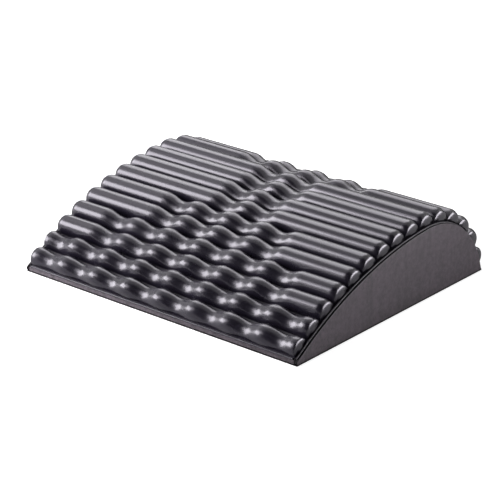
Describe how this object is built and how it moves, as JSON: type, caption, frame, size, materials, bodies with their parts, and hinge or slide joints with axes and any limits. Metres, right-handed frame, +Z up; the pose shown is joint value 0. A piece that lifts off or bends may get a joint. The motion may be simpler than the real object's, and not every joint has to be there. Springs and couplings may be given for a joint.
{
  "type": "back stretcher",
  "caption": "Free-standing arched lumbar stretcher: a moulded foam pad with beaded massage ribs over an arched foam core, closed by flat D-shaped side panels.",
  "frame": {"origin": "middle of the footprint, on the surface that the stretcher lies on", "axes": "+X along the ribs, +Y from the low front edge to the steep rear, +Z up out of the flat base"},
  "size_m": [0.36, 0.315, 0.0906],
  "materials": {
    "moulded_skin": "satin black moulded skin over soft foam",
    "leatherette": "matt dark grey leatherette with a fine grain",
    "piping_skin": "satin dark grey piping",
    "core_foam": "matt closed-cell foam, hidden inside",
    "base_fabric": "matt black base sheet"
  },
  "bodies": {
    "root": {"ribbed_pad": "moulded_skin", "foam_core": "core_foam", "base_cover": "base_fabric", "left_side_panel": "leatherette", "right_side_panel": "leatherette", "left_piping": "piping_skin", "right_piping": "piping_skin", "front_band": "leatherette", "rear_band": "leatherette"}
  },
  "joints": []
}
